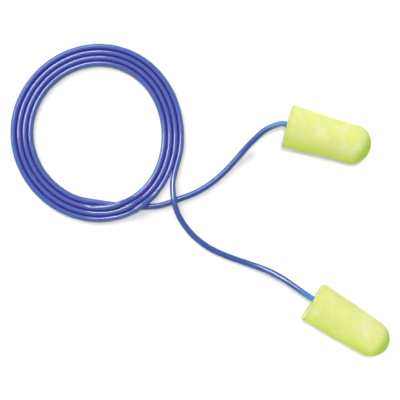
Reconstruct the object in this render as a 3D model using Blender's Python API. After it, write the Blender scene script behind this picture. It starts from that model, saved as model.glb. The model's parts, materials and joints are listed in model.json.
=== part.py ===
"""Corded foam ear plugs: two foam plugs lying on their sides, and one thin cord wound into a flat coil.

Metres, +Z up. The surface that everything lies on is z = 0, and the origin is on it, midway between
the two plugs. The cord is one length of vinyl, from the bore of one plug to the bore of the other. It is
modelled as a bonded end in each plug, a loose tail to each plug, and the ring that its coil fills.
"""

import math

import bpy
import numpy as np
from mathutils import Matrix, Vector

# The gap kept between neighbours, and between a plug's bore, its adhesive and the cord.
GAP = 0.0003
BOND_GAP = 0.0001

# Foam plug: a slightly tapered barrel with a half-ellipsoid tip and a blind bore in its flat back face.
PLUG_LENGTH = 0.0250
BACK_RADIUS = 0.0062
SHOULDER_RADIUS = 0.0054
TIP_DEPTH = 0.0052
BARREL_LENGTH = PLUG_LENGTH - TIP_DEPTH
BORE_DEPTH = 0.0080
SIDES = 32
TIP_RINGS = 8

# Vinyl cord, and the adhesive that holds each end in its bore.
CORD_RADIUS = 0.0008
BOND_WALL = 0.00035
BOND_INNER = CORD_RADIUS + BOND_GAP
BOND_OUTER = BOND_INNER + BOND_WALL
BORE_RADIUS = BOND_OUTER + BOND_GAP
BOND_START = 0.0005
BOND_END = BORE_DEPTH - 2 * GAP
BOND_SIDES = 16
STRAIGHT_EXIT = 0.0012
NOSE_ANGLES = (30, 55, 75)

# Each plug swings where the cord bends, this far outside the back face. SWING_AT is measured along
# the cord from its end in the bore.
SWING_REACH = 0.0065
SWING_AT = BORE_DEPTH - GAP + SWING_REACH

# A plug on its side rests along one facet of the barrel, so its axis leans down towards the tip.
FACET = math.cos(math.pi / SIDES)
LEAN = math.atan((BACK_RADIUS - SHOULDER_RADIUS) * FACET / BARREL_LENGTH)
AXIS_HEIGHT = BACK_RADIUS * FACET * math.cos(LEAN)

# Where each plug's back face is, and which way its tip points, in degrees anticlockwise from +X.
PLUGS = {
    "upper": {"face": (-0.0138, 0.0304), "heading": -15.5},
    "lower": {"face": (-0.0066, -0.0204), "heading": -32.3},
}

# The cord's loose tails, from just outside each plug to the coil.
TAILS = {
    "upper": [
        (-0.0168, 0.0306, 0.00595),
        (-0.0199, 0.0293, 0.00520),
        (-0.0226, 0.0272, 0.00410),
        (-0.0251, 0.0248, 0.00290),
        (-0.0285, 0.0210, 0.00145),
        (-0.0320, 0.0173, 0.00085),
        (-0.0360, 0.0139, 0.00080),
        (-0.0405, 0.0112, 0.00080),
        (-0.0454, 0.0093, 0.00080),
        (-0.0505, 0.0076, 0.00080),
    ],
    "lower": [
        (-0.0087, -0.0186, 0.00600),
        (-0.0114, -0.0165, 0.00525),
        (-0.0142, -0.0145, 0.00420),
        (-0.0171, -0.0127, 0.00300),
        (-0.0218, -0.0106, 0.00150),
        (-0.0270, -0.0088, 0.00085),
        (-0.0319, -0.0070, 0.00080),
        (-0.0366, -0.0047, 0.00080),
        (-0.0408, -0.0015, 0.00080),
        (-0.0442, 0.0026, 0.00110),
        (-0.0458, 0.0057, 0.00195),
        (-0.0466, 0.0086, 0.00255),
        (-0.0470, 0.0116, 0.00200),
        (-0.0470, 0.0145, 0.00120),
    ],
}
TUBE_SPACING = 0.0032
END_SPACING = 0.0012
FINE_SPACING = 0.0001

# The coil: four turns lying side by side, as the ring that they fill.
COIL_CENTRE = (-0.0695, 0.0284)
COIL_INNER = 0.0190
COIL_OUTER = 0.0260
COIL_SIDES = 96


def clear_scene():
    for thing in list(bpy.data.objects):
        bpy.data.objects.remove(thing, do_unlink=True)


def principled(name, colour, roughness):
    material = bpy.data.materials.new(name)
    material.use_nodes = True
    shader = material.node_tree.nodes["Principled BSDF"]
    shader.inputs["Base Color"].default_value = (*colour, 1.0)
    shader.inputs["Roughness"].default_value = roughness
    shader.inputs["Metallic"].default_value = 0.0
    material.diffuse_color = (*colour, 1.0)
    return material


def link(thing, material):
    thing.data.materials.append(material)
    bpy.context.scene.collection.objects.link(thing)
    return thing


def turned(name, profile, sides, material):
    """A solid turned about its own Z axis from a profile of (radius, height), read down its outer side."""
    mesh = bpy.data.meshes.new(name)
    points = [(radius, 0.0, height) for radius, height in profile]
    closed = profile[0][0] > 0.0
    edges = [(i, i + 1) for i in range(len(points) - 1)]
    if closed:
        edges.append((len(points) - 1, 0))
    mesh.from_pydata(points, edges, [])
    thing = link(bpy.data.objects.new(name, mesh), material)
    screw = thing.modifiers.new("turn", "SCREW")
    screw.axis = "Z"
    screw.steps = sides
    screw.render_steps = sides
    screw.use_merge_vertices = True
    screw.merge_threshold = 0.00001
    return thing


def smooth_line(points, spacing):
    """Evenly spaced points on the natural cubic spline through these points."""
    knots = np.array(points, float)
    steps = np.linalg.norm(np.diff(knots, axis=0), axis=1)
    count = len(knots)
    system = np.eye(count)
    bends = np.zeros((count, 3))
    for i in range(1, count - 1):
        before, after = steps[i - 1], steps[i]
        system[i, i - 1 : i + 2] = before, 2 * (before + after), after
        bends[i] = 6 * ((knots[i + 1] - knots[i]) / after - (knots[i] - knots[i - 1]) / before)
    curve = np.linalg.solve(system, bends)
    fine = []
    for i in range(count - 1):
        width = steps[i]
        for t in np.linspace(0.0, width, 40, endpoint=False):
            back = width - t
            fine.append(
                curve[i] * back**3 / (6 * width)
                + curve[i + 1] * t**3 / (6 * width)
                + (knots[i] / width - curve[i] * width / 6) * back
                + (knots[i + 1] / width - curve[i + 1] * width / 6) * t
            )
    fine.append(knots[-1])
    fine = np.array(fine)
    along = np.concatenate([[0.0], np.cumsum(np.linalg.norm(np.diff(fine, axis=0), axis=1))])
    stops = np.linspace(0.0, along[-1], max(2, round(along[-1] / spacing) + 1))
    return np.column_stack([np.interp(stops, along, fine[:, k]) for k in range(3)])


def tube(name, points, material, widths=None):
    """A round tube along these points. widths scales its radius at each point."""
    curve = bpy.data.curves.new(name, "CURVE")
    curve.dimensions = "3D"
    curve.bevel_depth = CORD_RADIUS
    curve.bevel_resolution = 2
    curve.use_fill_caps = True
    spline = curve.splines.new("POLY")
    spline.points.add(len(points) - 1)
    for i, (stop, point) in enumerate(zip(spline.points, points)):
        stop.co = (*point, 1.0)
        stop.radius = 1.0 if widths is None else widths[i]
    return link(bpy.data.objects.new(name, curve), material)


def plug_place(plug):
    """The plug's own frame: its origin at the middle of the back face, and +Z towards the tip."""
    heading = math.radians(plug["heading"])
    ahead = Vector(
        (
            math.cos(heading) * math.cos(LEAN),
            math.sin(heading) * math.cos(LEAN),
            -math.sin(LEAN),
        )
    )
    down = -(Vector((0.0, 0.0, 1.0)) - ahead * ahead.z).normalized()
    turn = Matrix.Rotation(-math.pi / SIDES, 3, ahead)
    first = turn @ down
    axes = Matrix((first, ahead.cross(first), ahead)).transposed()
    face = Vector((*plug["face"], AXIS_HEIGHT))
    return Matrix.Translation(face) @ axes.to_4x4()


def foam_plug(name, place, material):
    """Outer side from the tip down to the back face, then up the wall of the bore."""
    profile = [(0.0, PLUG_LENGTH)]
    for ring in range(1, TIP_RINGS + 1):
        angle = math.pi / 2 * ring / TIP_RINGS
        height = BARREL_LENGTH + TIP_DEPTH * math.cos(angle)
        profile.append((SHOULDER_RADIUS * math.sin(angle), height))
    profile += [
        (BACK_RADIUS, 0.0),
        (BORE_RADIUS, 0.0),
        (BORE_RADIUS, BORE_DEPTH),
        (0.0, BORE_DEPTH),
    ]
    thing = turned(name, profile, SIDES, material)
    thing.matrix_world = place
    return thing


def adhesive_bond(name, place, material):
    profile = [
        (BOND_OUTER, BOND_END),
        (BOND_OUTER, BOND_START),
        (BOND_INNER, BOND_START),
        (BOND_INNER, BOND_END),
    ]
    thing = turned(name, profile, BOND_SIDES, material)
    thing.matrix_world = place
    return thing


def cord_line(side, place):
    """The cord's centreline from the bottom of the bore to the coil, and how far along it each point is."""
    depths = (BORE_DEPTH - GAP, BORE_DEPTH / 2, 0.0, -STRAIGHT_EXIT)
    inside = [place @ Vector((0.0, 0.0, depth)) for depth in depths]
    line = smooth_line([*inside, *TAILS[side]], FINE_SPACING)
    steps = np.linalg.norm(np.diff(line, axis=0), axis=1)
    return line, np.concatenate([[0.0], np.cumsum(steps)])


def every(line, spacing):
    """Points of a fine line picked about this far apart, its two ends among them."""
    count = max(2, round(len(line) * FINE_SPACING / spacing) + 1)
    return line[np.linspace(0, len(line) - 1, count).round().astype(int)]


def bonded_end(name, line, material):
    """The end that is glued in, out to the swing point, where a rounded nose leaves room to swing."""
    points = list(every(line, END_SPACING))
    widths = [1.0] * len(points)
    swing = points[-1]
    ahead = (line[-1] - line[-2]) / np.linalg.norm(line[-1] - line[-2])
    for degrees in NOSE_ANGLES:
        angle = math.radians(degrees)
        points.append(swing + ahead * CORD_RADIUS * math.sin(angle))
        widths.append(math.cos(angle))
    return tube(name, points, material, widths)


def loose_tail(name, line, material):
    """The free stretch from the swing point's gap to where it would touch the coil."""
    middle = np.array(COIL_CENTRE)
    clear = np.linalg.norm(line[:, :2] - middle, axis=1) > COIL_OUTER + GAP + CORD_RADIUS
    return tube(name, every(line[clear], TUBE_SPACING), material)


def coil_ring(material):
    profile = [
        (COIL_OUTER, 2 * CORD_RADIUS),
        (COIL_OUTER, 0.0),
        (COIL_INNER, 0.0),
        (COIL_INNER, 2 * CORD_RADIUS),
    ]
    ring = turned("cord_coil", profile, COIL_SIDES, material)
    ring.location = (*COIL_CENTRE, 0.0)
    return ring


def hang_on(axis, pieces):
    """Parents the pieces to the empty on the swing axis, leaving them where they are."""
    bpy.context.view_layer.update()
    for piece in pieces:
        piece.parent = axis
        piece.matrix_parent_inverse = axis.matrix_world.inverted()


def main():
    clear_scene()
    foam = principled("plug_foam", (0.76, 0.86, 0.22), 0.85)
    glue = principled("adhesive", (0.85, 0.82, 0.60), 0.30)
    vinyl = principled("cord_vinyl", (0.06, 0.12, 0.42), 0.25)
    coil_ring(vinyl)
    for side, plug in PLUGS.items():
        place = plug_place(plug)
        line, along = cord_line(side, place)
        bonded = line[along <= SWING_AT]
        pieces = [
            foam_plug(f"{side}_plug", place, foam),
            adhesive_bond(f"{side}_cord_bond", place, glue),
            bonded_end(f"{side}_cord_end", bonded, vinyl),
        ]
        loose_tail(f"{side}_cord_tail", line[along > SWING_AT + CORD_RADIUS + GAP], vinyl)
        axis = bpy.data.objects.new(f"{side}_swing_axis", None)
        axis.location = bonded[-1]
        bpy.context.scene.collection.objects.link(axis)
        hang_on(axis, pieces)


main()
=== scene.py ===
"""Looks for the corded foam ear plugs: two foam plugs, and one thin cord wound into a flat coil.

Metres, +Z up, and the table is z = 0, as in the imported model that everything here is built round.
"""

import json
import math

import bpy
import numpy as np
from mathutils import Matrix, Vector, noise


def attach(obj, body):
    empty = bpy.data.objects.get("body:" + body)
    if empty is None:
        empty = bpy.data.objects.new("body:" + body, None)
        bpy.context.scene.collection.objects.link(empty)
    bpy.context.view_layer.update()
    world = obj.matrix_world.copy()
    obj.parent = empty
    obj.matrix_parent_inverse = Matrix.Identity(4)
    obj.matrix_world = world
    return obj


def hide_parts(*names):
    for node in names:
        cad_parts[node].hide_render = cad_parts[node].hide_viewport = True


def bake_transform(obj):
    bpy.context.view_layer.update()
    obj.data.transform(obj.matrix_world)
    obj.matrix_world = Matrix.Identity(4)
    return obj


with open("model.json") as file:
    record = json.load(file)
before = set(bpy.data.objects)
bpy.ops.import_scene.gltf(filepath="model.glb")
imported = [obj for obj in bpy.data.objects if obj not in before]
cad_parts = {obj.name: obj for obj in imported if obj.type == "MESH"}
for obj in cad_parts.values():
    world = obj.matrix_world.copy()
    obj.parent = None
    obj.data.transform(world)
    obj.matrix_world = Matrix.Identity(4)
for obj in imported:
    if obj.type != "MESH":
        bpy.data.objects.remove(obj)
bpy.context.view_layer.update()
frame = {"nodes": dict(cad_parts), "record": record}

SIDES_OF_CORD = ("upper", "lower")
SHARP_ANGLE = math.radians(50)

# Camera: almost straight above, with the top of the picture towards +Y.
CAMERA_TARGET = Vector((-0.03908, 0.00916, 0.0))
CAMERA_ELEVATION = math.radians(86.0)
CAMERA_DISTANCE = 0.379
CAMERA_ANGLE = math.radians(17.6)

# Vinyl cord. It reaches CORD_DEPTH into each bore and leaves it straight.
CORD_RADIUS = 0.00083
CORD_SIDES = 20
RING_SPACING = 0.0006
SPLINE_STEPS = 40
BORE_DEPTH = 0.0080
CORD_DEPTH = 0.0077
STRAIGHT_EXIT = 0.0012

# The stretch at each plug, by distance along the cord from the back face.
LEAD_LENGTH = 0.0135

# Painted shade: the skin is painted violet this near to another turn. Stretches of cord that are
# further apart along it than the spacing count as different turns.
CREVICE_SHADE_WIDTH = 0.0009
NEIGHBOUR_SPACING = 0.0040

# Painted shade: the cord's sides are painted darker, from this far above its centre, and fully this
# much lower, in radii.
FLANK_SHADE_FROM = 0.85
FLANK_SHADE_FADE = 0.6

# The cord is painted paler where it leaves a plug, as painted light. Its loose stretch is bluer
# and duller than the coil: it has the first dullness along the pale part, and the second from
# twice as far away on.
PALE_GLOW_LENGTH = 0.0080
FREE_LENGTH = 0.0560
FREE_FADE = 0.0100
FREE_DULLNESS = (0.85, 0.60)

# The dull stretch of the outermost turn, in degrees round the coil as in COIL_START and COIL_END.
DULL_MIDDLE = -925
DULL_REACH = 105
DULL_FADE = 45
# The dullness at which no gloss coat is left.
DULLEST = 1.35

# The cord's route where it isn't coiled, from just outside each plug to the coil, as in the model.
TAILS = {
    "upper": [
        (-0.0168, 0.0306, 0.00595),
        (-0.0199, 0.0293, 0.00520),
        (-0.0226, 0.0272, 0.00410),
        (-0.0251, 0.0248, 0.00290),
        (-0.0285, 0.0210, 0.00145),
        (-0.0320, 0.0173, 0.00085),
        (-0.0360, 0.0139, 0.00080),
        (-0.0405, 0.0112, 0.00080),
        (-0.0454, 0.0093, 0.00080),
        (-0.0505, 0.0076, 0.00080),
    ],
    "lower": [
        (-0.0087, -0.0186, 0.00600),
        (-0.0114, -0.0165, 0.00525),
        (-0.0142, -0.0145, 0.00420),
        (-0.0171, -0.0127, 0.00300),
        (-0.0218, -0.0106, 0.00150),
        (-0.0270, -0.0088, 0.00085),
        (-0.0319, -0.0070, 0.00080),
        (-0.0366, -0.0047, 0.00080),
        (-0.0408, -0.0015, 0.00080),
        (-0.0442, 0.0026, 0.00110),
        (-0.0458, 0.0057, 0.00195),
        (-0.0466, 0.0086, 0.00255),
        (-0.0470, 0.0116, 0.00200),
        (-0.0470, 0.0145, 0.00120),
    ],
}

# From the upper tail, under the coil's outer turns, to its innermost turn.
LEAD_IN = [
    (-0.0537, 0.00715, CORD_RADIUS),
    (-0.0567, 0.00705, CORD_RADIUS),
    (-0.0596, 0.00720, CORD_RADIUS),
    (-0.0631, 0.00760, CORD_RADIUS),
    (-0.0663, 0.00795, CORD_RADIUS),
]

# From the outermost turn to the lower tail.
LEAD_OUT = [
    (-0.04585, 0.0195, 0.00080),
    (-0.04670, 0.0162, 0.00085),
]

# The coil: a spiral a little out of round, wound clockwise outwards from the bottom of its
# innermost turn. Its later turns rise over the lead-in in a hump.
COIL_CENTRE = (-0.06942, 0.02854)
COIL_START = 270
COIL_END = -1095
COIL_STEP = 15
COIL_RADIUS = 0.01945
COIL_GROWTH = 0.00167
COIL_OVAL = 0.00065
OVAL_DIRECTION = 97
COIL_LOBES = 0.00025
LOBE_DIRECTION = 60
HUMP_HEIGHT = 0.00170
HUMP_WIDTH = 0.0020

# Foam plug, by depth from its back face.
BACK_RADIUS = 0.00623
SHOULDER_RADIUS = 0.00540
FLARE_POWER = 1.6
BARREL_LENGTH = 0.0198
TIP_DEPTH = 0.0052
RIM_ROUND = 0.00055
BORE_RADIUS = 0.00115
BORE_SHIFT = {"upper": 0.0002, "lower": 0.0005}
MOUTH_ROUND = 0.0006
FOAM_SIDES = 168
FOAM_STEP = 0.00022
BORE_RINGS = 12
MOUTH_STEPS = 4
RIM_STEPS = 5

# Unevenness of the foam's skin: (height, wavelength).
LUMPS = (0.00006, 0.0070)
WAVES = (0.00003, 0.0022)
GRAIN = (0.000012, 0.0007)

# How wide each plug is against a round one: at its back face, half way along and at its tip.
WIDTHS = {"upper": (1.0, 1.018, 1.03), "lower": (0.965, 1.0, 0.94)}
# How far out of square each back face is cut, in degrees. Its top leans back.
BACK_LEAN = {"upper": 2.5, "lower": 0.0}
LEAN_DEPTH = 0.004
# The back face follows an off-centre bore fully out to this radius, and less over the next stretch.
SHIFT_RADIUS = 0.0018
SHIFT_FADE = 0.0032

# Adhesive, from inside the bore to a small meniscus round the cord.
GLUE_DEPTH = 0.00022
GLUE_ROUND = 0.00047
GLUE_BOTTOM = 0.0002
GLUE_ARC = (90, 165)
GLUE_STEPS = 6
GLUE_SIDES = 48
# The sleeve's radii, as shares of the cord's and the bore's, and how far out across the rounding of
# the bore's mouth the meniscus has its middle.
GLUE_INNER = 0.98
GLUE_OUTER = 0.99
GLUE_SPREAD = 0.25

# Colours that depend on which way the foam's skin faces: painted shade. Each FROM is the cosine at
# which the colour starts, and each FADE is how much further it takes to be full.
# Painted shade: away from this direction the skin is painted deeper in colour, as skin lit mainly
# through the foam is.
FOAM_LIT_SIDE = Vector((0.30, 0.15, 0.92)).normalized()
LEE_FROM = 0.88
LEE_FADE = 0.95
# Painted shade: the skin that faces this way is painted deeper still.
FOAM_SHADED_SIDE = Vector((0.86, -0.50, 0.12)).normalized()
DEEP_FROM = 0.30
DEEP_FADE = 0.62
# Painted shade: the skin that faces down is painted greyer.
UNDER_SHADE_FROM = 0.35
UNDER_SHADE_FADE = 0.4
# The cut look of the back face starts this far in from its edge, and the darker line of painted
# shade along the rim lies this far in and this deep, all as shares of the rim's rounding.
CUT_INSET = 0.7
RIM_SHADE_LINE = 0.3

# Light from all round: its strength on the dim and the bright side.
DOME_BRIGHT_SIDE = (-0.78, 0.62, 0.0)
DOME_STRENGTH = (0.08, 0.41)
DOME_COLOUR = (0.95, 0.92, 1.0, 1.0)

# The lamps hang far off, so that the floor is as pale further away.
LAMP_DISTANCE = 6.0
FLOOR_REACH = 6.0
FLOOR_DROP = 0.00003
FLOOR_COLOUR = (0.855, 0.855, 0.855, 1.0)


def smooth_line(points, spacing):
    """Evenly spaced points on the natural cubic spline through these points."""
    knots = np.array(points, float)
    steps = np.linalg.norm(np.diff(knots, axis=0), axis=1)
    count = len(knots)
    system = np.eye(count)
    bends = np.zeros((count, 3))
    for i in range(1, count - 1):
        before, after = steps[i - 1], steps[i]
        system[i, i - 1 : i + 2] = before, 2 * (before + after), after
        bends[i] = 6 * ((knots[i + 1] - knots[i]) / after - (knots[i] - knots[i - 1]) / before)
    curve = np.linalg.solve(system, bends)
    fine = []
    for i in range(count - 1):
        width = steps[i]
        ahead = np.linspace(0.0, width, SPLINE_STEPS, endpoint=False)[:, None]
        back = width - ahead
        fine.append(
            curve[i] * back**3 / (6 * width)
            + curve[i + 1] * ahead**3 / (6 * width)
            + (knots[i] / width - curve[i] * width / 6) * back
            + (knots[i + 1] / width - curve[i + 1] * width / 6) * ahead
        )
    fine = np.concatenate([*fine, knots[-1:]])
    along = distances(fine)
    stops = np.linspace(0.0, along[-1], round(along[-1] / spacing) + 1)
    return np.column_stack([np.interp(stops, along, fine[:, k]) for k in range(3)])


def distances(line):
    """How far along the line each of its points is."""
    return np.concatenate([[0.0], np.cumsum(np.linalg.norm(np.diff(line, axis=0), axis=1))])


def smoothstep(value):
    """0 below 0, 1 above 1, smooth between."""
    value = np.clip(value, 0.0, 1.0)
    return value * value * (3 - 2 * value)


def plug_place(side):
    """The plug's own frame, from the model: origin mid back face, +Z to the tip, +Y nearly up."""
    mounts = {mount["name"]: mount for mount in frame["record"]["mounts"]}
    ahead = -Vector(mounts[f"{side}_back_face"]["axis"]).normalized()
    points = [vertex.co for vertex in frame["nodes"][f"{side}_plug"].data.vertices]
    back = min(point.dot(ahead) for point in points)
    same_plane = 0.00001
    rim = np.array([point for point in points if point.dot(ahead) < back + same_plane])
    middle = Vector((rim.min(axis=0) + rim.max(axis=0)) / 2)
    up = (Vector((0.0, 0.0, 1.0)) - ahead * ahead.z).normalized()
    axes = Matrix((up.cross(ahead), up, ahead)).transposed()
    return Matrix.Translation(middle) @ axes.to_4x4()


def add_camera():
    data = bpy.data.cameras.new("camera")
    data.sensor_width = 36.0
    data.angle = CAMERA_ANGLE
    camera = bpy.data.objects.new("camera", data)
    away = Vector((0.0, -math.cos(CAMERA_ELEVATION), math.sin(CAMERA_ELEVATION)))
    camera.location = CAMERA_TARGET + away * CAMERA_DISTANCE
    camera.rotation_euler = (math.pi / 2 - CAMERA_ELEVATION, 0.0, 0.0)
    bpy.context.scene.collection.objects.link(camera)
    bpy.context.scene.camera = camera


class Shader:
    """A material being built: its Principled shader and the nodes that feed it."""

    def __init__(self, name, **values):
        self.material = bpy.data.materials.new(name)
        self.material.use_nodes = True
        self.tree = self.material.node_tree
        self.main = self.tree.nodes["Principled BSDF"]
        for socket, value in values.items():
            self.main.inputs[socket.replace("_", " ")].default_value = value

    def node(self, kind, inputs, **settings):
        """A new node. An input's value is a number, a colour or another node's output."""
        made = self.tree.nodes.new(kind)
        for name, value in settings.items():
            setattr(made, name, value)
        for socket, value in inputs.items():
            self.give(made.inputs[socket], value)
        return made

    def give(self, socket, value):
        if isinstance(value, bpy.types.NodeSocket):
            self.tree.links.new(value, socket)
        else:
            socket.default_value = value

    def noise(self, place, wavelength, detail=2.0, roughness=0.5):
        inputs = {"Vector": place, "Scale": 1 / wavelength}
        inputs |= {"Detail": detail, "Roughness": roughness}
        return self.node("ShaderNodeTexNoise", inputs).outputs["Fac"]

    def ramp(self, value, low, high):
        """0 at low, 1 at high, smooth between. Low may be the larger of the two."""
        inputs = {"Value": value, "From Min": low, "From Max": high}
        kind = "ShaderNodeMapRange"
        return self.node(kind, inputs, interpolation_type="SMOOTHSTEP").outputs["Result"]

    def scaled(self, value, by):
        inputs = {0: value, 1: by}
        return self.node("ShaderNodeMath", inputs, operation="MULTIPLY").outputs[0]

    def mix(self, share, first, second):
        """A colour this share of the way from the first to the second."""
        inputs = {0: share, 6: first, 7: second}
        return self.node("ShaderNodeMix", inputs, data_type="RGBA").outputs[2]

    def attribute(self, name):
        return self.node("ShaderNodeAttribute", {}, attribute_name=name).outputs["Fac"]

    def coordinates(self, kind):
        return self.node("ShaderNodeTexCoord", {}).outputs[kind]

    def bump(self, height, depth, strength=1.0, normal=None):
        inputs = {"Height": height, "Distance": depth, "Strength": strength}
        if normal is not None:
            inputs["Normal"] = normal
        return self.node("ShaderNodeBump", inputs).outputs["Normal"]


def colour(red, green, blue):
    return (red, green, blue, 1.0)


def vinyl():
    """Glossy blue vinyl: violet painted shade in the crevices between turns and on its darker
    sides, and paler at a plug as painted light.
    """
    shader = Shader("vinyl", Roughness=0.30, Specular_IOR_Level=0.2, Coat_Roughness=0.09)
    along = shader.coordinates("UV")
    stretched = shader.node(
        "ShaderNodeMapping", {"Vector": along, "Scale": (1.0, 8.0, 1.0)}
    ).outputs[0]
    drift = shader.noise(along, wavelength=0.030, detail=3.0)
    lines = shader.noise(stretched, wavelength=0.0016, detail=3.0)
    tint = shader.mix(drift, colour(0.056, 0.116, 0.345), colour(0.072, 0.140, 0.410))
    tint = shader.mix(shader.attribute("free"), tint, colour(0.040, 0.088, 0.330))
    # Painted shade: darker on the cord's sides.
    tint = shader.mix(shader.attribute("flank_shade"), tint, colour(0.026, 0.050, 0.240))
    # Painted light: paler where the cord leaves a plug.
    tint = shader.mix(shader.attribute("pale"), tint, colour(0.072, 0.228, 0.550))
    # Painted shade: violet in the crevices between turns.
    tint = shader.mix(shader.attribute("crevice"), tint, colour(0.075, 0.025, 0.380))
    shader.give(shader.main.inputs["Base Color"], tint)
    gloss = shader.ramp(shader.attribute("dull"), low=DULLEST, high=0.0)
    shader.give(shader.main.inputs["Coat Weight"], gloss)
    normal = shader.bump(lines, depth=0.00002, strength=0.5)
    shader.give(shader.main.inputs["Normal"], normal)
    return shader.material


def foam():
    """Slow-recovery foam: matte, pale in patches, with painted shade: deeper in colour away from
    the light, greyer below, darker along the rim and in the pores.
    """
    shader = Shader("foam", Roughness=0.9, Specular_IOR_Level=0.15, Subsurface_Weight=1.0)
    shader.main.inputs["Subsurface Radius"].default_value = (1.0, 1.0, 0.25)
    shader.main.inputs["Subsurface Scale"].default_value = 0.002
    place = shader.coordinates("Object")
    blotches = shader.noise(place, wavelength=0.0050, detail=4.0, roughness=0.6)
    patches = shader.ramp(blotches, low=0.46, high=0.68)
    grain = shader.noise(place, wavelength=0.0005, detail=3.0)
    tint = shader.mix(patches, colour(0.700, 0.750, 0.250), colour(0.750, 0.785, 0.410))
    # Painted shade: deeper in colour away from the lit side.
    tint = shader.mix(shader.attribute("lee_shade"), tint, colour(0.670, 0.880, 0.065))
    # Painted shade: deeper still on the skin facing away from the lights.
    deep = shader.scaled(shader.attribute("deep"), by=0.9)
    tint = shader.mix(deep, tint, colour(0.400, 0.650, 0.030))
    tint = shader.mix(shader.attribute("cut"), tint, colour(0.680, 0.760, 0.270))
    # Painted shade: a darker line along the rim.
    tint = shader.mix(shader.attribute("rim"), tint, colour(0.540, 0.620, 0.170))
    # Painted shade: greyer where the skin faces down.
    tint = shader.mix(shader.attribute("under"), tint, colour(0.430, 0.460, 0.310))
    tint = shader.mix(shader.scaled(grain, by=0.15), tint, colour(0.790, 0.820, 0.460))
    pores = shader.ramp(shader.noise(place, wavelength=0.00034), low=0.56, high=0.70)
    # Painted shade: the pores are painted darker, for the shade in their pits.
    tint = shader.mix(shader.scaled(pores, by=0.30), tint, colour(0.460, 0.560, 0.110))
    shader.give(shader.main.inputs["Base Color"], tint)
    cells = shader.noise(place, wavelength=0.00022, detail=3.0)
    normal = shader.bump(cells, depth=0.00005, strength=0.6)
    normal = shader.bump(pores, depth=-0.00006, strength=0.8, normal=normal)
    shader.give(shader.main.inputs["Normal"], normal)
    return shader.material


def adhesive():
    """Clear, slightly yellow adhesive, with a skin that isn't quite even."""
    shader = Shader("adhesive", Roughness=0.18)
    place = shader.coordinates("Object")
    cloud = shader.noise(place, wavelength=0.0012)
    tint = shader.mix(cloud, colour(0.55, 0.56, 0.22), colour(0.68, 0.66, 0.32))
    shader.give(shader.main.inputs["Base Color"], tint)
    normal = shader.bump(cloud, depth=0.00005, strength=0.4)
    shader.give(shader.main.inputs["Normal"], normal)
    return shader.material


def new_piece(name, points, faces, material):
    mesh = bpy.data.meshes.new(name)
    mesh.from_pydata([tuple(point) for point in points], [], faces)
    mesh.shade_smooth()
    mesh.set_sharp_from_angle(angle=SHARP_ANGLE)
    mesh.materials.append(material)
    piece = bpy.data.objects.new(name, mesh)
    bpy.context.scene.collection.objects.link(piece)
    return piece


def paint(piece, name, values):
    """Stores one number for each point of the piece, for its material to read."""
    layer = piece.data.attributes.new(name, "FLOAT", "POINT")
    layer.data.foreach_set("value", np.asarray(values, np.float32))


def spiral():
    """Points round the coil, from the innermost turn outwards."""
    points = []
    for degrees in range(COIL_START, COIL_END - 1, -COIL_STEP):
        angle = math.radians(degrees)
        turn = (COIL_START - degrees) / 360
        radius = COIL_RADIUS + COIL_GROWTH * turn
        radius += COIL_OVAL * math.cos(2 * (angle - math.radians(OVAL_DIRECTION)))
        radius += COIL_LOBES * math.cos(3 * (angle - math.radians(LOBE_DIRECTION)))
        x = COIL_CENTRE[0] + radius * math.cos(angle)
        y = COIL_CENTRE[1] + radius * math.sin(angle)
        points.append((x, y, CORD_RADIUS))
    return points


def lift_over(line, first, start):
    """Lifts the coil's turns where they cross the lead-in.

    The lead-in runs from point first to point start. The half turn that follows starts at its end,
    so it stays down, and so does the lower tail, which has its own rise.
    """
    lead = line[first:start, :2]
    half_turn = round(math.pi * COIL_RADIUS / RING_SPACING)
    later = np.arange(len(line)) > start + half_turn
    on_table = line[:, 2] < CORD_RADIUS * 1.001
    away = np.linalg.norm(line[:, None, :2] - lead[None], axis=2).min(axis=1)
    hump = HUMP_HEIGHT * np.exp(-((away / HUMP_WIDTH) ** 2))
    line[:, 2] += np.where(later & on_table, hump, 0.0)


def cord_line(places):
    """The whole cord's centreline, from the bottom of the upper bore to that of the lower one.

    The lower tail's first point is left out, so that the cord leaves its off-centre bore smoothly.
    """
    depths = (CORD_DEPTH, BORE_DEPTH / 2, 0.0, -STRAIGHT_EXIT)
    ends = {
        side: [place @ Vector((BORE_SHIFT[side], 0.0, depth)) for depth in depths]
        for side, place in places.items()
    }
    before = [*ends["upper"], *TAILS["upper"]]
    after = [*LEAD_OUT, *TAILS["lower"][:0:-1], *ends["lower"][::-1]]
    line = smooth_line([*before, *LEAD_IN, *spiral(), *after], RING_SPACING)
    # The route is the thinner cord's of the model, so its lowest points rise a little.
    line[:, 2] = np.maximum(line[:, 2], CORD_RADIUS)
    first = np.linalg.norm(line - TAILS["upper"][-1], axis=1).argmin()
    start = np.linalg.norm(line - spiral()[0], axis=1).argmin()
    lift_over(line, first, start)
    return line


def rings_round(line):
    """Rings of points round the line that don't twist along it."""
    ahead = np.gradient(line, axis=0)
    ahead /= np.linalg.norm(ahead, axis=1)[:, None]
    side = np.cross(ahead[0], (0.0, 0.0, 1.0))
    turn = np.arange(CORD_SIDES) * 2 * math.pi / CORD_SIDES
    rings = np.empty((len(line), CORD_SIDES, 3))
    for i, direction in enumerate(ahead):
        side = side - direction * side.dot(direction)
        side /= np.linalg.norm(side)
        up = np.cross(side, direction)
        rings[i] = line[i] + CORD_RADIUS * (
            np.cos(turn)[:, None] * side + np.sin(turn)[:, None] * up
        )
    return rings


def crevices(line, rings, along):
    """How deep in a crevice each point is: 1 against another turn of the cord, 0 in the open."""
    deep = np.zeros(rings.shape[:2])
    for i, ring in enumerate(rings):
        others = line[np.abs(along - along[i]) > NEIGHBOUR_SPACING]
        gap = np.linalg.norm(ring[:, None] - others[None], axis=2).min(axis=1) - CORD_RADIUS
        deep[i] = smoothstep(1 - gap / CREVICE_SHADE_WIDTH)
    return deep


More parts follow.
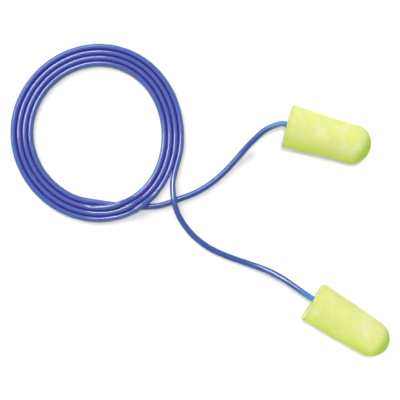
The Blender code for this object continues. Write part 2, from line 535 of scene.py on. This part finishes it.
def ring_faces(rings, sides, first=0):
    """Faces between neighbouring rings of points, which are numbered from first on."""
    faces = []
    for ring in range(rings - 1):
        below = first + ring * sides
        above = below + sides
        for i in range(sides):
            j = (i + 1) % sides
            faces.append((below + i, below + j, above + j, above + i))
    return faces


def tube_faces(count):
    """Faces of a closed tube of this many rings."""
    faces = ring_faces(count, CORD_SIDES)
    faces.append(tuple(reversed(range(CORD_SIDES))))
    last = (count - 1) * CORD_SIDES
    faces.append(tuple(range(last, last + CORD_SIDES)))
    return faces


def coil_dullness(line):
    """How dull each point of the coil is: its outermost turn has lost its gloss along one side."""
    angles = np.arctan2(line[:, 1] - COIL_CENTRE[1], line[:, 0] - COIL_CENTRE[0])
    wound = np.degrees(np.unwrap(angles)) + 360
    return smoothstep((DULL_REACH - np.abs(wound - DULL_MIDDLE)) / DULL_FADE)


def cord_looks(line, rings, along, from_face):
    """Numbers from 0 to 1 for the vinyl to read, for each point of the rings."""
    height = (rings[:, :, 2] - line[:, None, 2]) / CORD_RADIUS
    free = smoothstep((FREE_LENGTH - from_face) / FREE_FADE)
    free_dull = np.interp(from_face, (PALE_GLOW_LENGTH, 2 * PALE_GLOW_LENGTH), FREE_DULLNESS)
    same_all_round = {
        # Painted light: paler where the cord leaves a plug.
        "pale": smoothstep(1 - from_face / PALE_GLOW_LENGTH),
        "free": free,
        "dull": np.maximum(coil_dullness(line), free * free_dull),
    }
    looks = {
        # Painted shade: violet in the crevices, and darker on the cord's sides.
        "crevice": crevices(line, rings, along),
        "flank_shade": smoothstep((FLANK_SHADE_FROM - height) / FLANK_SHADE_FADE),
    }
    for name, values in same_all_round.items():
        looks[name] = np.repeat(values[:, None], CORD_SIDES, axis=1)
    return looks


def tube_piece(name, rings, along, looks, material):
    """One stretch of the cord, with its length and girth as UV, in metres."""
    piece = new_piece(name, rings.reshape(-1, 3), tube_faces(len(rings)), material)
    for attribute, values in looks.items():
        paint(piece, attribute, values.reshape(-1))
    layer = piece.data.uv_layers.new(name="cord")
    girth = 2 * math.pi * CORD_RADIUS / CORD_SIDES
    uv = []
    for face in piece.data.polygons:
        points = np.array(face.vertices)
        ring, place = points // CORD_SIDES, points % CORD_SIDES
        if len(points) == 4 and place.max() - place.min() > 1:
            place = np.where(place == 0, CORD_SIDES, place)
        uv += np.column_stack([along[ring], place * girth]).reshape(-1).tolist()
    layer.data.foreach_set("uv", uv)
    return piece


def make_cord(places):
    """The cord in three stretches: a lead at each plug, and the rest."""
    line = cord_line(places)
    rings = rings_round(line)
    along = distances(line)
    material = vinyl()
    whole = along[-1]
    from_face = np.minimum(along, whole - along) - CORD_DEPTH
    looks = cord_looks(line, rings, along, from_face)
    split = int(np.searchsorted(along, CORD_DEPTH + LEAD_LENGTH))
    spans = {
        "upper_cord_lead": slice(0, split + 1),
        "cord_main": slice(split, len(line) - split),
        "lower_cord_lead": slice(len(line) - split - 1, len(line)),
    }
    made = {}
    for name, span in spans.items():
        here = {attribute: values[span] for attribute, values in looks.items()}
        made[name] = tube_piece(name, rings[span], along[span], here, material)
    for side in SIDES_OF_CORD:
        lead = made[f"{side}_cord_lead"]
        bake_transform(lead)
        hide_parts(f"{side}_cord_end")
    main = made["cord_main"]
    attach(main, "cord")
    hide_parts("cord_coil", "upper_cord_tail", "lower_cord_tail")
    span = spans["cord_main"]


def arc(centre, radius, start, end, steps):
    """Points (radius from the axis, depth) on an arc between two angles in degrees."""
    angles = np.radians(np.linspace(start, end, steps + 1))
    return [(centre[0] + radius * math.cos(a), centre[1] + radius * math.sin(a)) for a in angles]


def barrel_radius(depth):
    flare = (1 - depth / BARREL_LENGTH) ** FLARE_POWER
    return SHOULDER_RADIUS + (BACK_RADIUS - SHOULDER_RADIUS) * flare


def foam_profile():
    """(radius, depth) from the bottom of the bore, out over the back face and along to the tip."""
    bore = [(0.0, BORE_DEPTH)]
    bore += [(BORE_RADIUS, depth) for depth in np.linspace(BORE_DEPTH, MOUTH_ROUND, BORE_RINGS)]
    mouth = arc((BORE_RADIUS + MOUTH_ROUND, MOUTH_ROUND), MOUTH_ROUND, 180, 270, MOUTH_STEPS)
    rim_middle = (BACK_RADIUS - RIM_ROUND, RIM_ROUND)
    flat = BACK_RADIUS - RIM_ROUND - BORE_RADIUS - MOUTH_ROUND
    steps = round(flat / FOAM_STEP)
    radii = [BORE_RADIUS + MOUTH_ROUND + flat * i / steps for i in range(1, steps)]
    face = [(radius, 0.0) for radius in radii]
    rim = arc(rim_middle, RIM_ROUND, -90, 0, RIM_STEPS)
    steps = round((BARREL_LENGTH - RIM_ROUND) / FOAM_STEP)
    depths = RIM_ROUND + (BARREL_LENGTH - RIM_ROUND) * np.arange(1, steps) / steps
    barrel = [(barrel_radius(depth), depth) for depth in depths]
    rough_outline = TIP_DEPTH * 1.5
    angles = np.linspace(0, math.pi / 2, round(rough_outline / FOAM_STEP))
    across, ahead = SHOULDER_RADIUS * np.cos(angles), BARREL_LENGTH + TIP_DEPTH * np.sin(angles)
    tip = [*zip(across[:-1], ahead[:-1]), (0.0, BARREL_LENGTH + TIP_DEPTH)]
    return bore + mouth[1:] + face + rim + barrel + tip


def turned(profile, sides):
    """Points and faces of a solid turned about +Z. Its profile starts and ends on the axis."""
    inner = np.array(profile[1:-1])
    turn = np.arange(sides) * 2 * math.pi / sides
    rings = np.empty((len(inner), sides, 3))
    rings[:, :, 0] = inner[:, :1] * np.cos(turn)
    rings[:, :, 1] = inner[:, :1] * np.sin(turn)
    rings[:, :, 2] = inner[:, 1:]
    points = np.concatenate(
        [[(0.0, 0.0, profile[0][1])], rings.reshape(-1, 3), [(0.0, 0.0, profile[-1][1])]]
    )
    last = len(points) - 1
    faces = [(0, 1 + (i + 1) % sides, 1 + i) for i in range(sides)]
    faces += ring_faces(len(inner), sides, first=1)
    top = 1 + (len(inner) - 1) * sides
    faces += [(top + i, top + (i + 1) % sides, last) for i in range(sides)]
    return points, faces


def foam_shift(point, cut):
    """How far the foam's skin stands proud of the turned shape at this point.

    The cut back face has three times the grain of the moulded skin.
    """
    lumps, waves, grain = (
        height * noise.noise(point / wavelength) for height, wavelength in (LUMPS, WAVES, GRAIN)
    )
    return lumps + waves + grain * (1 + 2 * cut)


def make_plug(side, place, material):
    """A foam plug. Its colours of painted shade follow which way its skin faces before the skin is
    made uneven.
    """
    points, faces = turned(foam_profile(), FOAM_SIDES)
    radius = np.hypot(points[:, 0], points[:, 1])
    depth = points[:, 2].copy()
    halfway = (BARREL_LENGTH + TIP_DEPTH) / 2
    points[:, 0] *= np.interp(depth, (0.0, halfway, 2 * halfway), WIDTHS[side])
    near_bore = (1 - smoothstep((radius - SHIFT_RADIUS) / SHIFT_FADE)) * (depth <= BORE_DEPTH)
    points[:, 0] += BORE_SHIFT[side] * near_bore
    lean = math.tan(math.radians(BACK_LEAN[side])) * (1 - smoothstep(depth / LEAN_DEPTH))
    points[:, 2] -= lean * points[:, 1]
    placed = [place @ Vector(point) for point in points]
    piece = new_piece(f"{side}_foam_body", placed, faces, material)
    normals = [Vector(vertex.normal) for vertex in piece.data.vertices]
    # Painted shade: the skin away from the lit side is painted deeper in colour.
    lit = np.array([normal.dot(FOAM_LIT_SIDE) for normal in normals])
    paint(piece, "lee_shade", smoothstep((LEE_FROM - lit) / LEE_FADE) * smoothstep(depth / RIM_ROUND))
    # Painted shade: deeper still on the skin facing this way.
    deep = np.array([normal.dot(FOAM_SHADED_SIDE) for normal in normals])
    paint(piece, "deep", smoothstep((deep - DEEP_FROM) / DEEP_FADE))
    # Painted shade: a darker line along the rim.
    rim_across = (radius - BACK_RADIUS) / RIM_ROUND + RIM_SHADE_LINE
    rim_along = depth / RIM_ROUND - RIM_SHADE_LINE
    paint(piece, "rim", np.exp(-(rim_across**2 + rim_along**2)))
    # Painted shade: greyer where the skin faces down.
    down = np.array([-normal.z for normal in normals])
    paint(piece, "under", smoothstep((down - UNDER_SHADE_FROM) / UNDER_SHADE_FADE))
    from_rim = BACK_RADIUS - radius
    cut = smoothstep(from_rim / RIM_ROUND - CUT_INSET) * (depth < RIM_ROUND)
    paint(piece, "cut", cut)
    for vertex, normal, share in zip(piece.data.vertices, normals, cut):
        vertex.co += normal * foam_shift(vertex.co, share)
        vertex.co.z = max(vertex.co.z, 0.0)
    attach(piece, f"{side}_plug_set")
    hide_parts(f"{side}_plug")


def make_glue(side, place, material):
    """A sleeve between cord and foam, ending in a meniscus in the bore's rounded mouth."""
    inner, outer = CORD_RADIUS * GLUE_INNER, BORE_RADIUS * GLUE_OUTER
    top = GLUE_DEPTH - GLUE_ROUND
    bottom = CORD_DEPTH - GLUE_BOTTOM
    meniscus_middle = (BORE_RADIUS + MOUTH_ROUND * GLUE_SPREAD, top)
    profile = [(0.0, CORD_DEPTH), (outer, CORD_DEPTH), (outer, MOUTH_ROUND)]
    profile += arc(meniscus_middle, GLUE_ROUND, *GLUE_ARC, GLUE_STEPS)
    profile += [(inner, top), (inner, top * 0.8), (inner, bottom), (0.0, bottom)]
    points, faces = turned(profile, GLUE_SIDES)
    points[:, 0] += BORE_SHIFT[side]
    placed = [place @ Vector(point) for point in points]
    piece = new_piece(f"{side}_glue_fillet", placed, faces, material)
    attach(piece, f"{side}_plug_set")
    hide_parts(f"{side}_cord_bond")


def lamp(name, azimuth, elevation, size, power, tint=(1.0, 1.0, 1.0)):
    """A light aimed at the object, azimuth clockwise from +Y.

    Its size (width, height) and power are what they would be from 1 m away.
    """
    data = bpy.data.lights.new(name, "AREA")
    data.shape = "RECTANGLE"
    data.size, data.size_y = (side * LAMP_DISTANCE for side in size)
    data.energy = power * LAMP_DISTANCE**2
    data.color = tint
    light = bpy.data.objects.new(name, data)
    turn, rise = math.radians(azimuth), math.radians(elevation)
    across = math.cos(rise)
    away = Vector((math.sin(turn) * across, math.cos(turn) * across, math.sin(rise)))
    light.location = CAMERA_TARGET + away * LAMP_DISTANCE
    light.rotation_euler = away.to_track_quat("Z", "Y").to_euler()
    light.visible_camera = False
    bpy.context.scene.collection.objects.link(light)
    return light


def add_dome():
    """Pale light from all round, stronger from one side."""
    world = bpy.data.worlds.new("studio")
    world.use_nodes = True
    tree = world.node_tree
    direction = tree.nodes.new("ShaderNodeTexCoord").outputs["Generated"]
    toward = tree.nodes.new("ShaderNodeVectorMath")
    toward.operation = "DOT_PRODUCT"
    toward.inputs[1].default_value = DOME_BRIGHT_SIDE
    tree.links.new(direction, toward.inputs[0])
    strength = tree.nodes.new("ShaderNodeMapRange")
    limits = {"From Min": -1.0, "From Max": 1.0}
    limits |= {"To Min": DOME_STRENGTH[0], "To Max": DOME_STRENGTH[1]}
    for socket, value in limits.items():
        strength.inputs[socket].default_value = value
    tree.links.new(toward.outputs["Value"], strength.inputs["Value"])
    background = tree.nodes["Background"]
    background.inputs["Color"].default_value = DOME_COLOUR
    tree.links.new(strength.outputs["Result"], background.inputs["Strength"])
    bpy.context.scene.world = world


def add_lights():
    """A dome, three lamps that don't show in gloss, and a strip that shows in gloss only."""
    add_dome()
    key = lamp("key", azimuth=8.0, elevation=85.7, size=(0.184, 0.184), power=6.24)
    key.visible_glossy = False

    # Only the thin cord blocks the low light: a plug's shadow from it would be many times as wide.
    blockers = bpy.data.collections.new("blockers of the low light")
    blockers.objects.link(bpy.data.objects["cord_main"])
    low = lamp("low", azimuth=-35.0, elevation=47.0, size=(0.44, 0.44), power=4.64)
    low.visible_glossy = False
    low.light_linking.blocker_collection = blockers

    # The fill stands for weak light from pale surroundings, so it casts no shadow.
    fill = lamp("fill", azimuth=180.0, elevation=18.0, size=(0.52, 0.36), power=1.36)
    fill.visible_glossy = False
    fill.data.use_shadow = False

    cool_white = (0.97, 0.99, 1.0)
    strip = lamp(
        "strip", azimuth=-43.0, elevation=54.0, size=(1.00, 0.18), power=19.7, tint=cool_white
    )
    strip.visible_diffuse = False


def add_floor():
    mesh = bpy.data.meshes.new("floor")
    sides = ((-1, -1), (1, -1), (1, 1), (-1, 1))
    corners = [(x * FLOOR_REACH, y * FLOOR_REACH, 0.0) for x, y in sides]
    mesh.from_pydata(corners, [], [(0, 1, 2, 3)])
    shader = Shader("floor", Roughness=0.9)
    shader.main.inputs["Base Color"].default_value = FLOOR_COLOUR
    mesh.materials.append(shader.material)
    floor = bpy.data.objects.new("floor", mesh)
    floor.location.z = -FLOOR_DROP
    bpy.context.scene.collection.objects.link(floor)


add_camera()
bpy.context.scene.view_settings.view_transform = "Standard"
places = {side: plug_place(side) for side in SIDES_OF_CORD}
make_cord(places)
skin, glue = foam(), adhesive()
for side, place in places.items():
    make_plug(side, place, skin)
    make_glue(side, place, glue)
add_lights()
add_floor()
